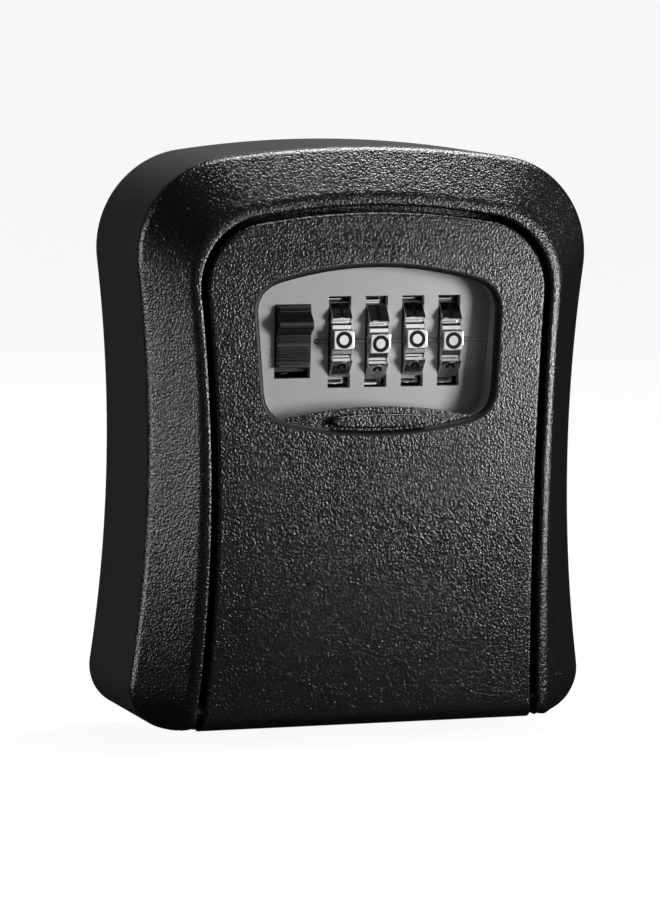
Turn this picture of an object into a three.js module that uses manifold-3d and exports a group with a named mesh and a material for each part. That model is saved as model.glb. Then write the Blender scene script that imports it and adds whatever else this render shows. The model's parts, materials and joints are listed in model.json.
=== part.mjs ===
// A wall-mounted key lock box: a case with a bevelled front frame, and a door hinged at its lower
// edge that carries four code dials, an opening slider with its bolt, and a curved dust shutter.
//
// Millimetres. X runs to the right, Y into the wall and Z up, so the front faces -Y. The pieces are
// made with heights counted from the bottom edge and depths counted from the wall outwards; the
// whole group is lowered at the end, so that the origin is the centre of the flat wall face.
import * as THREE from "three";
import { mergeVertices } from "three/addons/utils/BufferGeometryUtils.js";
import Module from "manifold-3d";

const wasm = await Module();
wasm.setup();

// ---- driving dimensions -------------------------------------------------------------------

const HEIGHT = 118;
const FRAME_EDGE_DEPTH = 30; // where the bevel meets the side wall
const CASE_DEPTH = 28.3; // the rear case ends here and the front frame begins
const CASE_WALL = 2.8;
const CASE_BACK = 3;
const GAP = 0.3; // between pieces that touch on the real box

// The front is part of a large cylinder that lies along X, behind the wall.
const FRONT_RADIUS = 372.7;
const FRONT_AXIS = { depth: -332.7, z: 51.7 };

// Outlines seen from the front: waisted sides, arched top, round corners.
const CASE_SHAPE = { waist: 45.7, waistZ: 54, side: 304, arch: 220, top: HEIGHT, corner: 20, foot: 9 };
const OPENING_SHAPE = { waist: 35.35, waistZ: 42, side: 520, arch: 150, top: 106.3, corner: 14.5, foot: 0 };

const DOOR_GAP = 1.2;
const DOOR_SKIN = 1;
const DOOR_RIM = 1.8;
const HINGE = { depth: 32.9, z: 4, barrel: 4, pin: 1.5, reach: 38.5 };
const DOOR_BACK = HINGE.depth - HINGE.barrel;
const STOP_LIP = { back: 26, front: 27.8, width: 2.2 };

const PLATE = { front: 33.5, back: 32, halfWidth: 32, low: 27, high: 97.5, corner: 6 };
const AXLE = { depth: 26, z: 78.8, radius: 2, left: -12.7, right: 25 };
const DIAL = { count: 4, first: -6.7, pitch: 7.9, width: 4.3, tip: 10.5, floor: 9.3, facets: 10 };
const DIAL_SLOT = { width: 4.8, low: 69.3, high: 87.9 };
const DIAL_PLAY = [2.7, -2.2, 2.7, 0]; // degrees that each dial rests off its detent
const CAM = { flange: 5.6, hub: 4.2, bore: 2.3, gate: 4.3, offset: 2.45, width: 2.4 };

const SHUTTER = { inner: 370.6, outer: 371.4, halfWidth: 27.2, low: 30, shoulder: 61.9, crown: 69.9 };
const SLIDER = { low: 73.6, high: 86.2, left: -20.4, right: -13.1, travel: 2 };
const SLIDER_SLOT = { left: -20.6, right: -12.9, low: 71.4, high: 86.4 };
const BOLT = { left: -20.5, right: -13, back: 21.6, front: 25.2, low: 80.4, high: 104.5 };
const COVER = { halfWidth: 27.4, low: 63, high: 97.6, back: 12.6, front: 31.7, wall: 1.2, floor: 1.4 };

const CASE_SCREWS = [[-41.6, 14], [41.6, 14], [-39.5, 102], [39.5, 102]];
const WALL_HOLES = [[-27, 22], [27, 22], [-27, 96], [27, 96]];
const PLATE_SCREWS = [[-29.8, 31], [29.8, 31], [-29.8, 88], [29.8, 88]];
const COVER_SCREWS = [[-23.6, 66.9], [23.6, 66.9], [-23.6, 93.9], [23.6, 93.9]];

// ---- making solids ------------------------------------------------------------------------

function solidOf(geometry) {
  const bare = geometry.index ? geometry.toNonIndexed() : geometry.clone();
  bare.deleteAttribute("normal");
  bare.deleteAttribute("uv");
  const merged = mergeVertices(bare, 1e-4);
  const mesh = new wasm.Mesh({
    numProp: 3,
    vertProperties: merged.attributes.position.array,
    triVerts: new Uint32Array(merged.index.array),
  });
  return new wasm.Manifold(mesh);
}

function geometryOf(solid) {
  const mesh = solid.getMesh();
  const indexed = new THREE.BufferGeometry();
  indexed.setAttribute("position", new THREE.BufferAttribute(mesh.vertProperties, 3));
  indexed.setIndex(new THREE.BufferAttribute(mesh.triVerts, 1));
  const faceted = indexed.toNonIndexed();
  faceted.computeVertexNormals();
  return faceted;
}

const middle = ([low, high]) => (low + high) / 2;
const union = (...solids) => solids.reduce((all, next) => all.add(next));

// A box between two x values, two depths and two heights.
function block(x, depth, z) {
  const box = new THREE.BoxGeometry(x[1] - x[0], depth[1] - depth[0], z[1] - z[0]);
  return solidOf(box.translate(middle(x), -middle(depth), middle(z)));
}

// Round bars along X and along the depth.
function barAlongX(x, depth, z, radius, sides = 16) {
  const bar = new THREE.CylinderGeometry(radius, radius, x[1] - x[0], sides).rotateZ(Math.PI / 2);
  return solidOf(bar.translate(middle(x), -depth, z));
}

function barAlongDepth([x, z], depth, radius, sides = 12) {
  const bar = new THREE.CylinderGeometry(radius, radius, depth[1] - depth[0], sides);
  return solidOf(bar.translate(x, -middle(depth), z));
}

// An outline of [x, z] points, carried from one depth to another.
function frontPrism(points, depth) {
  const shape = new THREE.Shape(points.map(([x, z]) => new THREE.Vector2(x, z)));
  const settings = { depth: depth[1] - depth[0], bevelEnabled: false };
  const prism = new THREE.ExtrudeGeometry(shape, settings).rotateX(Math.PI / 2);
  return solidOf(prism.translate(0, -depth[0], 0));
}

// A side profile of [depth, z] points, carried from one x to another.
function sidePrism(points, x) {
  const shape = new THREE.Shape(points.map(([depth, z]) => new THREE.Vector2(depth, z)));
  const prism = new THREE.ExtrudeGeometry(shape, { depth: x[1] - x[0], bevelEnabled: false });
  const depthAxis = new THREE.Vector3(0, -1, 0);
  const upAxis = new THREE.Vector3(0, 0, 1);
  const lengthAxis = new THREE.Vector3(-1, 0, 0);
  prism.applyMatrix4(new THREE.Matrix4().makeBasis(depthAxis, upAxis, lengthAxis));
  return solidOf(prism.translate(x[1], 0, 0));
}

const frontDepth = (z, radius = FRONT_RADIUS) =>
  FRONT_AXIS.depth + Math.sqrt(radius ** 2 - (z - FRONT_AXIS.z) ** 2);

// Points along the front curve from one height to another, as [depth, z].
function frontCurve(radius, [low, high], steps = 14) {
  return Array.from({ length: steps + 1 }, (_, i) => {
    const z = low + ((high - low) * i) / steps;
    return [frontDepth(z, radius), z];
  });
}

// All that lies behind the front curve of a radius, and the sheet between two radii.
function behindFront(radius, depth, x = [-60, 60], z = [-2, HEIGHT + 2]) {
  return sidePrism([[depth, z[1]], [depth, z[0]], ...frontCurve(radius, z)], x);
}

function frontSheet(inner, outer, x, z) {
  return sidePrism([...frontCurve(outer, z), ...frontCurve(inner, z).reverse()], x);
}

// ---- outlines -----------------------------------------------------------------------------

function arcPoints([x, z], radius, from, to, steps) {
  return Array.from({ length: steps + 1 }, (_, i) => {
    const angle = from + ((to - from) * i) / steps;
    return [x + radius * Math.cos(angle), z + radius * Math.sin(angle)];
  });
}

const angleTo = (centre, point) => Math.atan2(point[1] - centre[1], point[0] - centre[0]);

// Where two circles meet, on the left of the way from the first centre to the second.
function circlesMeet(a, radiusA, b, radiusB) {
  const apart = Math.hypot(b[0] - a[0], b[1] - a[1]);
  const along = (apart ** 2 + radiusA ** 2 - radiusB ** 2) / (2 * apart);
  const aside = Math.sqrt(radiusA ** 2 - along ** 2);
  const ux = (b[0] - a[0]) / apart;
  const uz = (b[1] - a[1]) / apart;
  return [a[0] + along * ux - aside * uz, a[1] + along * uz + aside * ux];
}

// The case or opening outline, from the right foot over the top to the left foot. A shape with
// square feet has as many points as one with round feet, so that the two can be joined.
function archedPath({ waist, waistZ, side, arch, top, corner, foot }) {
  const sideCentre = [waist + side, waistZ];
  const archCentre = [0, top - arch];
  const cornerCentre = circlesMeet(archCentre, arch - corner, sideCentre, side + corner);
  const cornerStart = angleTo(cornerCentre, sideCentre);
  const cornerEnd = angleTo(archCentre, cornerCentre);
  const sideTop = angleTo(sideCentre, cornerCentre) + 2 * Math.PI;
  const sideAngle = (z) => Math.PI - Math.asin((z - waistZ) / side);
  const footHeight = foot || CASE_SHAPE.foot;
  const turned = (angle) => (angle + 2 * Math.PI) % (2 * Math.PI);
  let footArc = arcPoints(sideCentre, side, sideAngle(0), sideAngle(footHeight), 6);
  let sideStart = sideAngle(footHeight);
  if (foot) {
    const reach = Math.sqrt((side + foot) ** 2 - (foot - waistZ) ** 2);
    const footCentre = [sideCentre[0] - reach, foot];
    footArc = arcPoints(footCentre, foot, -Math.PI / 2, angleTo(footCentre, sideCentre), 6);
    sideStart = turned(angleTo(sideCentre, footCentre));
  }
  const half = [
    ...footArc,
    ...arcPoints(sideCentre, side, sideStart, turned(sideTop), 10).slice(1),
    ...arcPoints(cornerCentre, corner, cornerStart, cornerEnd, 8).slice(1),
    ...arcPoints(archCentre, arch, cornerEnd, Math.PI / 2, 5).slice(1),
  ];
  const mirrored = half.slice(0, -1).reverse().map(([x, z]) => [-x, z]);
  return [...half, ...mirrored];
}

// A closed outline moved outwards by a distance, or inwards by a negative one.
function grown(points, by) {
  const count = points.length;
  const normal = (a, b) => {
    const length = Math.hypot(b[0] - a[0], b[1] - a[1]);
    return [(b[1] - a[1]) / length, (a[0] - b[0]) / length];
  };
  return points.map((point, i) => {
    const before = normal(points[(i + count - 1) % count], point);
    const after = normal(point, points[(i + 1) % count]);
    const stretch = by / (1 + before[0] * after[0] + before[1] * after[1]);
    return [point[0] + (before[0] + after[0]) * stretch, point[1] + (before[1] + after[1]) * stretch];
  });
}

function roundedRectangle([left, right], [low, high], radius, steps = 4) {
  const quarter = Math.PI / 2;
  const corners = [
    [right - radius, low + radius],
    [right - radius, high - radius],
    [left + radius, high - radius],
    [left + radius, low + radius],
  ];
  return corners.flatMap((centre, i) =>
    arcPoints(centre, radius, (i - 1) * quarter, i * quarter, steps),
  );
}

// A closed outline of quadratic curves and lines, symmetric about x = 0. It starts at the lowest
// point in the middle; each stretch is [end] for a line or [control, end] for a curve.
function symmetricOutline(stretches) {
  const path = new THREE.Path().moveTo(...stretches[0]);
  for (const [control, end] of stretches.slice(1)) {
    if (end) path.quadraticCurveTo(...control, ...end);
    else path.lineTo(...control);
  }
  const right = path.getPoints(5).map(({ x, y }) => [x, y]);
  const left = right.slice(1, -1).reverse().map(([x, z]) => [-x, z]);
  return [...right, ...left];
}

const casePath = archedPath(CASE_SHAPE);
const openingPath = archedPath(OPENING_SHAPE);
// An arched path moved inwards at its sides and top only: its two feet stay on the base line.
const narrowed = (path, by) =>
  grown(path, -by).map(([x, z], i) => [x, i % (path.length - 1) === 0 ? 0 : z]);
const doorOutline = narrowed(openingPath, DOOR_GAP);

// The dial window: an arched top, slightly splayed sides and a bowed bottom.
const WINDOW = symmetricOutline([
  [0, 61],
  [[10, 61], [19.3, 63.2]],
  [[24.27, 64.36], [24.6, 69]],
  [[25.7, 84.5]],
  [[26.05, 89.68], [20.5, 91.2]],
  [[10, 94], [0, 94]],
]);

// ---- the scene graph ----------------------------------------------------------------------

const lockBox = new THREE.Group();
const housing = new THREE.Group();
const door = new THREE.Group();
lockBox.add(housing, door);

const finish = (color, roughness, metalness) =>
  new THREE.MeshStandardMaterial({ color, roughness, metalness });
const SMOOTH_BLACK = finish(0x1c1c1e, 0.55, 0.1);
const GRAINED_BLACK = finish(0x17171a, 0.5, 0.2);
const PLATE_GREY = finish(0x9a9c9f, 0.45, 0.2);
const GLOSS_BLACK = finish(0x0b0b0c, 0.3, 0);
const CHROME = finish(0xd8d8da, 0.12, 1);
const STEEL = finish(0x9b9ea2, 0.35, 1);
const MATTE_BLACK = finish(0x222225, 0.6, 0);

function piece(parent, name, solid, material) {
  const mesh = new THREE.Mesh(geometryOf(solid), material);
  mesh.name = name;
  parent.add(mesh);
}

// Everything below the round lower edge of the front, which is one radius about the hinge axis.
function toeWaste() {
  const room = block([-60, 60], [HINGE.depth, 60], [-5, HINGE.z]);
  return room.subtract(barAlongX([-61, 61], HINGE.depth, HINGE.z, HINGE.barrel, 48));
}

// ---- housing ------------------------------------------------------------------------------

function rearCase() {
  const cavity = frontPrism(grown(casePath, -CASE_WALL), [CASE_BACK, CASE_DEPTH + 1]);
  let shell = frontPrism(casePath, [0, CASE_DEPTH]).subtract(cavity);
  for (const at of CASE_SCREWS) {
    shell = shell.add(barAlongDepth(at, [CASE_BACK - 1, CASE_DEPTH], 3.2));
    shell = shell.subtract(barAlongDepth(at, [-1, CASE_DEPTH + 1], 1.7));
    shell = shell.subtract(barAlongDepth(at, [-1, 2.2], 3.1));
  }
  for (const at of WALL_HOLES) shell = shell.subtract(barAlongDepth(at, [-1, CASE_BACK + 1], 2.6));
  return shell;
}

// The front frame is one profile carried round the opening. Each ring lies between a point on the
// opening and its partner on the case outline; near the feet it narrows to fit.
function frameRing([gx, gz], [cx, cz]) {
  const width = Math.hypot(cx - gx, cz - gz);
  const squeeze = Math.min(1, width / 4.5);
  const front = frontDepth(gz);
  const at = (s, depth) => {
    const share = s / width;
    return [gx + (cx - gx) * share, -depth, gz + (cz - gz) * share];
  };
  return [
    at(0, front),
    at(1.25 * squeeze, front),
    at(2.2 * squeeze, front - 0.35),
    at(3 * squeeze, front - 1.1),
    at(width - squeeze, FRAME_EDGE_DEPTH + 0.9),
    at(width - 0.25 * squeeze, FRAME_EDGE_DEPTH - 0.2),
    at(width, FRAME_EDGE_DEPTH - 1.2),
    at(width, CASE_DEPTH + GAP),
    at(width - 2.6 * squeeze, CASE_DEPTH + GAP),
    at(2.4 * squeeze, front - 4.5),
    at(1.9 * squeeze, front - 4.8),
    at(1.9 * squeeze, STOP_LIP.back),
    at(-STOP_LIP.width, STOP_LIP.back),
    at(-STOP_LIP.width, STOP_LIP.front),
    at(0, STOP_LIP.front),
  ];
}

// Closed rings joined one after another, with both ends capped.
function skinned(rings) {
  const size = rings[0].length;
  const positions = [];
  const corner = (ring, i) => positions.push(...rings[ring][i % size]);
  for (let r = 0; r + 1 < rings.length; r++)
    for (let i = 0; i < size; i++)
      for (const [ring, at] of [[r, i], [r, i + 1], [r + 1, i], [r + 1, i], [r, i + 1], [r + 1, i + 1]])
        corner(ring, at);
  const flat = rings[0].map(([x, y]) => new THREE.Vector2(x, y));
  const last = rings.length - 1;
  for (const [a, b, c] of THREE.ShapeUtils.triangulateShape(flat, []))
    for (const [ring, at] of [[0, a], [0, c], [0, b], [last, a], [last, b], [last, c]])
      corner(ring, at);
  const geometry = new THREE.BufferGeometry();
  return geometry.setAttribute("position", new THREE.Float32BufferAttribute(positions, 3));
}

function frontFrame() {
  let frame = solidOf(skinned(openingPath.map((point, i) => frameRing(point, casePath[i]))));
  for (const side of [-1, 1]) {
    const boss = [side * 37.2, side * 39.4].sort((a, b) => a - b);
    const bore = [side * 30, side * (HINGE.reach + 0.2)].sort((a, b) => a - b);
    frame = frame.add(block(boss, [CASE_DEPTH + GAP, 36.2], [0.5, 8]));
    frame = frame.subtract(barAlongX(bore, HINGE.depth, HINGE.z, HINGE.pin + GAP));
  }
  for (const at of CASE_SCREWS) {
    frame = frame.add(barAlongDepth(at, [CASE_DEPTH + GAP, 31.9], 2.8));
    frame = frame.subtract(barAlongDepth(at, [CASE_DEPTH - 1, 31.4], 1.6));
  }
  const caseFloor = block([-60, 60], [20, CASE_DEPTH + GAP], [-1, CASE_WALL + GAP]);
  return frame.subtract(caseFloor).subtract(toeWaste());
}

// A screw whose head is at the low depth and whose tip points to the front.
function screw([x, z], [headBack, tip], headRadius, headHeight, shankRadius) {
  const profile = [
    [0, 0],
    [headRadius, 0],
    [headRadius, headHeight],
    [shankRadius, headHeight],
    [shankRadius, tip - headBack - shankRadius],
    [0, tip - headBack],
  ].map(([radius, along]) => new THREE.Vector2(radius, along));
  const body = new THREE.LatheGeometry(profile, 12).rotateX(Math.PI);
  return solidOf(body.translate(x, -headBack, z));
}

piece(housing, "rear_case", rearCase(), SMOOTH_BLACK);
piece(housing, "front_frame", frontFrame(), GRAINED_BLACK);
piece(housing, "hinge_pin", barAlongX([-HINGE.reach, HINGE.reach], HINGE.depth, HINGE.z, HINGE.pin), STEEL);
CASE_SCREWS.forEach((at, i) =>
  piece(housing, `case_screw_${i + 1}`, screw(at, [0.3, 31], 2.8, 1.7, 1.3), STEEL),
);

// ---- door ---------------------------------------------------------------------------------

function doorPanel() {
  const outer = frontPrism(doorOutline, [DOOR_BACK, 60]).intersect(behindFront(FRONT_RADIUS, 0));
  const heel = block([-60, 60], [0, HINGE.depth], [-5, HINGE.z]);
  const barrel = barAlongX([-34.9, 34.9], HINGE.depth, HINGE.z, HINGE.barrel, 48);
  const room = behindFront(FRONT_RADIUS - DOOR_SKIN, 0, [-60, 60], [8.2, HEIGHT]);
  const hollow = frontPrism(narrowed(doorOutline, DOOR_RIM), [0, 60]).intersect(room);
  let panel = outer.subtract(toeWaste()).subtract(heel).add(barrel).subtract(hollow);
  for (const side of [-1, 1]) {
    const rail = [side * 27.5, side * 28.9].sort((a, b) => a - b);
    panel = panel.add(frontSheet(369.4, FRONT_RADIUS - DOOR_SKIN / 2, rail, [28, 97]));
  }
  for (const at of PLATE_SCREWS) {
    const post = barAlongDepth(at, [PLATE.front + GAP, 60], 2);
    panel = panel.add(post.intersect(behindFront(FRONT_RADIUS - DOOR_SKIN / 2, 0)));
    panel = panel.subtract(barAlongDepth(at, [0, PLATE.front + 1.9], 1.2));
  }
  panel = panel.subtract(frontPrism(WINDOW, [0, 60]));
  return panel.subtract(barAlongX([-60, 60], HINGE.depth, HINGE.z, HINGE.pin + GAP));
}

function dialPlate() {
  const { front, back, halfWidth, low, high, corner } = PLATE;
  const outline = roundedRectangle([-halfWidth, halfWidth], [low, high], corner);
  const guide = SHUTTER.inner - 0.4;
  const wall = frontPrism(grown(WINDOW, 1.5), [back, 60]).intersect(behindFront(guide, 0));
  let plate = frontPrism(outline, [back, front]).add(wall);
  plate = plate.subtract(frontPrism(grown(WINDOW, 0.3), [front, 60]));
  for (const side of [-1, 1]) {
    const rib = [side * 22, side * 23.2].sort((a, b) => a - b);
    plate = plate.add(behindFront(guide, back, rib, [low + 2, 62]));
  }
  const axleLug = (x) =>
    block(x, [20.5, back + 0.5], [75, 82.6]).subtract(
      barAlongX([x[0] - 1, x[1] + 1], AXLE.depth, AXLE.z, AXLE.radius + GAP),
    );
  plate = plate.add(axleLug([-11.6, -10.2])).add(axleLug([22.3, 23.9]));
  plate = plate.add(block([-19.5, -14], [21.5, back + 0.5], [64.6, 66.3]));
  for (const at of COVER_SCREWS) {
    plate = plate.add(barAlongDepth(at, [COVER.back + COVER.floor + GAP, back + 0.5], 2.1));
    plate = plate.subtract(barAlongDepth(at, [0, 25], 1.2));
  }
  for (const at of PLATE_SCREWS) plate = plate.subtract(barAlongDepth(at, [0, 60], 1.3));
  for (let i = 0; i < DIAL.count; i++) {
    const x = DIAL.first + i * DIAL.pitch;
    const slot = [x - DIAL_SLOT.width / 2, x + DIAL_SLOT.width / 2];
    plate = plate.subtract(block(slot, [back - 1, front + 1], [DIAL_SLOT.low, DIAL_SLOT.high]));
  }
  const { left, right } = SLIDER_SLOT;
  return plate.subtract(block([left, right], [back - 1, front + 1], [SLIDER_SLOT.low, SLIDER_SLOT.high]));
}

piece(door, "door_panel", doorPanel(), GRAINED_BLACK);
piece(door, "dial_plate", dialPlate(), PLATE_GREY);
PLATE_SCREWS.forEach((at, i) =>
  piece(door, `plate_screw_${i + 1}`, screw(at, [30.4, 35], 1.9, 1.3, 1), STEEL),
);

// ---- dials, cams and their axle -----------------------------------------------------------

// The dial is a ring with ten flats for the digits and a notch after each for the finger and the
// detent. Its side view is worked out from the tip and floor radii.
function dialRing(x, play) {
  const pitch = (2 * Math.PI) / DIAL.facets;
  const rad = THREE.MathUtils.degToRad;
  const tooth = [[DIAL.tip, -11], [DIAL.tip, 11], [DIAL.floor, 12.5], [DIAL.floor, 23.5]];
  const points = Array.from({ length: DIAL.facets }, (_, i) =>
    tooth.map(([radius, degrees]) => {
      const angle = i * pitch + rad(degrees + play);
      return [AXLE.depth + radius * Math.cos(angle), AXLE.z + radius * Math.sin(angle)];
    }),
  ).flat();
  const sides = [x - DIAL.width / 2, x + DIAL.width / 2];
  const bore = barAlongX([sides[0] - 1, sides[1] + 1], AXLE.depth, AXLE.z, CAM.hub + GAP);
  return sidePrism(points, sides).subtract(bore);
}

// The cam turns with its dial: a hub inside the dial and a disc beside it with one gate.
function cam(x) {
  const disc = [x + CAM.offset, x + CAM.offset + CAM.width];
  const hub = barAlongX([x - DIAL.width / 2, disc[0] + 0.5], AXLE.depth, AXLE.z, CAM.hub);
  const flange = barAlongX(disc, AXLE.depth, AXLE.z, CAM.flange, 20);
  const gateDepths = [AXLE.depth - 1.2, AXLE.depth + 1.2];
  const gate = block([disc[0] - 0.2, disc[1] + 0.5], gateDepths, [AXLE.z + CAM.gate, AXLE.z + 9]);
  const bore = barAlongX([x - 5, x + 8], AXLE.depth, AXLE.z, CAM.bore);
  return hub.add(flange).subtract(gate).subtract(bore);
}

// The axle has a groove near each end, and a split clip sits in each groove.
const CLIP_WIDTH = 0.5;
const CLIP_AT = [-12.3, 24.1];
function axle() {
  const { left, right, radius } = AXLE;
  const groove = (x) => [
    [radius, x - 0.1],
    [1.2, x - 0.1],
    [1.2, x + CLIP_WIDTH + 0.1],
    [radius, x + CLIP_WIDTH + 0.1],
  ];
  const rim = [...CLIP_AT.flatMap(groove), [radius, right]];
  const profile = [[0, left], [radius, left], ...rim, [0, right]];
  const points = profile.map(([r, along]) => new THREE.Vector2(r, along));
  const turned = new THREE.LatheGeometry(points, 16).rotateZ(-Math.PI / 2);
  return solidOf(turned.translate(0, -AXLE.depth, AXLE.z));
}

function axleClip(x) {
  const width = [x, x + CLIP_WIDTH];
  const through = [x - 1, x + CLIP_WIDTH + 1];
  const ring = barAlongX(width, AXLE.depth, AXLE.z, 3.3);
  const bore = barAlongX(through, AXLE.depth, AXLE.z, 1.5);
  const mouth = block(through, [AXLE.depth - 4, AXLE.depth], [AXLE.z - 1.1, AXLE.z + 1.1]);
  return ring.subtract(bore).subtract(mouth);
}

// A steel strip behind the dials with one finger for each, which clicks into the notches.
function detentSpring() {
  const back = 14.4;
  const dialX = (i) => DIAL.first + i * DIAL.pitch;
  let strip = block([dialX(0) - 2.2, dialX(DIAL.count - 1) + 2.2], [back, back + 0.5], [64.7, 68.2]);
  for (let i = 0; i < DIAL.count; i++) {
    const finger = [[back, 68], [back + 0.5, 68], [back + 0.7, 79.4], [back + 0.2, 79.4]];
    strip = strip.add(sidePrism(finger, [dialX(i) - 1.7, dialX(i) + 1.7]));
  }
  return strip;
}

piece(door, "dial_axle", axle(), STEEL);
CLIP_AT.forEach((x, i) => piece(door, `axle_clip_${i + 1}`, axleClip(x), STEEL));
piece(door, "detent_spring", detentSpring(), STEEL);
for (let i = 0; i < DIAL.count; i++) {
  const x = DIAL.first + i * DIAL.pitch;
  const wheel = new THREE.Group();
  piece(wheel, `dial_${i + 1}`, dialRing(x, DIAL_PLAY[i]), CHROME);
  piece(wheel, `code_cam_${i + 1}`, cam(x), STEEL);
  door.add(wheel);
}

// ---- slider, locking bar, bolt and their springs ------------------------------------------

// The slider's face rises to a thumb ridge. Behind the plate it has a flange, a tail that pushes
// the bolt down, and a lug on which its spring stands.
function slider() {
  const { low, high, left, right } = SLIDER;
  const face = [
    [31, low],
    [34.3, low],
    [34.5, 80.2],
    [35.1, 80.9],
    [36, 81.7],
    [36.3, 82.5],
    [36, 83.3],
    [35, 84.1],
    [34.3, 85],
    [34.1, high],
    [31, high],
  ];
  const flange = block([left - 1.2, right + 1.1], [30.2, 31.6], [low - 1, high + 2]);
  const tail = block([-18.3, -14], [25.8, 30.5], [BOLT.low + 3.6, 87.4]);
  const lug = block([-18.6, -14.9], [26.4, 30.5], [73, 75]);
  return union(sidePrism(face, [left, right]), flange, tail, lug);
}

// A steel bar over the dials: its fingers drop towards the cams as the slider goes down.
function lockingBar() {
  const depth = [25.6, 27.2];
  let bar = union(block([-20.4, -18.6], depth, [84.7, 93.4]), block([-20.4, 20.9], depth, [91.6, 93.4]));
  for (let i = 0; i < DIAL.count; i++) {
    const left = DIAL.first + i * DIAL.pitch + CAM.offset + 0.15;
    bar = bar.add(block([left, left + 1.3], depth, [AXLE.z + CAM.flange + GAP + SLIDER.travel, 92]));
  }
  return bar;
}

// The bolt stands behind the frame's lip. Its sloping back lets the door slam shut.
function bolt() {
  const { left, right, back, front, low, high } = BOLT;
  const profile = [[back, low], [29.4, low], [29.4, low + 3.3], [front, low + 3.3], [front, high],
    [front - 0.9, high], [back, high - 3.2]];
  return sidePrism(profile, [left, right]);
}

// A coil spring that stands upright at a place, from one height to another.
class Helix extends THREE.Curve {
  constructor(x, depth, [low, high], radius, turns) {
    super();
    Object.assign(this, { x, depth, low, high, radius, turns });
  }

  getPoint(t, target = new THREE.Vector3()) {
    const angle = 2 * Math.PI * this.turns * t;
    const z = this.low + (this.high - this.low) * t;
    return target.set(this.x + this.radius * Math.cos(angle), -this.depth + this.radius * Math.sin(angle), z);
  }
}

function coilSpring(x, depth, z, radius, turns, wire) {
  const section = new THREE.Shape(
    arcPoints([0, 0], wire, 0, 2 * Math.PI, 6).slice(0, -1).map((p) => new THREE.Vector2(...p)),
  );
  const path = new Helix(x, depth, [z[0] + wire, z[1] - wire], radius, turns);
  const settings = { steps: turns * 12, bevelEnabled: false, extrudePath: path };
  return solidOf(new THREE.ExtrudeGeometry(section, settings));
}

piece(door, "opening_slider", slider(), GLOSS_BLACK);
piece(door, "locking_bar", lockingBar(), STEEL);
piece(door, "door_bolt", bolt(), STEEL);
piece(door, "slider_spring", coilSpring(-16.75, 28.3, [66.6, 72.7], 1.4, 4, 0.25), STEEL);
piece(door, "bolt_spring", coilSpring(-16.75, 23.4, [66.6, 80.1], 1.4, 7, 0.25), STEEL);

// ---- lock cover and reset lever -----------------------------------------------------------

function lockCover() {
  const { halfWidth, low, high, back, front, wall, floor } = COVER;
  const outline = roundedRectangle([-halfWidth, halfWidth], [low, high], 2.5, 3);
  const cavity = frontPrism(grown(outline, -wall), [back + floor, front + 1]);
  let cover = frontPrism(outline, [back, front]).subtract(cavity);
  for (const at of COVER_SCREWS) cover = cover.subtract(barAlongDepth(at, [back - 1, back + 3], 1.2));
  const boltWay = block([BOLT.left - 0.5, BOLT.right + 0.5], [BOLT.back - 0.5, BOLT.front + 0.5], [90, 99]);
  const leverWay = block([2, 16], [back - 1, back + 3], [92.4, 95.4]);
  return cover.subtract(boltWay).subtract(leverWay);
}

// The reset lever: a flat shoe inside the cover, a stem through its slot and a knob outside.
function resetLever() {
  return union(
    block([1.5, 11.5], [14.3, 15.5], [91.4, 96.2]),
    block([4, 8], [11, 15], [92.7, 95.1]),
    block([3, 9], [10.3, 12.3], [91.9, 95.9]),
  );
}

piece(door, "lock_cover", lockCover(), MATTE_BLACK);
COVER_SCREWS.forEach((at, i) =>
  piece(door, `cover_screw_${i + 1}`, screw(at, [11, 22], 2, 1.3, 0.9), STEEL),
);
piece(door, "reset_lever", resetLever(), GLOSS_BLACK);

// ---- dust shutter -------------------------------------------------------------------------

// A curved sheet that slides up behind the door's skin to cover the dials. Its finger tab is a
// lens-shaped pad that stands out through the window.
function shutter() {
  const { inner, outer, halfWidth, low, shoulder, crown } = SHUTTER;
  const sheet = symmetricOutline([
    [0, low],
    [[halfWidth, low]],
    [[halfWidth, shoulder]],
    [[halfWidth / 2, middle([shoulder, crown])], [0, middle([shoulder, crown])]],
  ]);
  const pad = symmetricOutline([[0, 61.7], [[6, 61.7], [10.3, 63.1]], [[6, 64.5], [0, 64.5]]]);
  const body = frontPrism(sheet, [0, 60]).intersect(frontSheet(inner, outer, [-40, 40], [20, 80]));
  const tab = frontPrism(pad, [0, 60]).intersect(frontSheet(inner + 0.2, 373.2, [-40, 40], [20, 80]));
  return body.add(tab);
}

piece(door, "dust_shutter", shutter(), GRAINED_BLACK);

lockBox.position.set(0, 0, -HEIGHT / 2);

export default lockBox;
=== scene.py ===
"""A wall-mounted key lock box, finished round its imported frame.

Sizes are millimetres, turned into the frame's metres by at(). X runs to the right, depths count out
from the wall and heights count up from the lower edge.
"""
import json
import math

import bpy
from mathutils import Matrix, Vector

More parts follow.
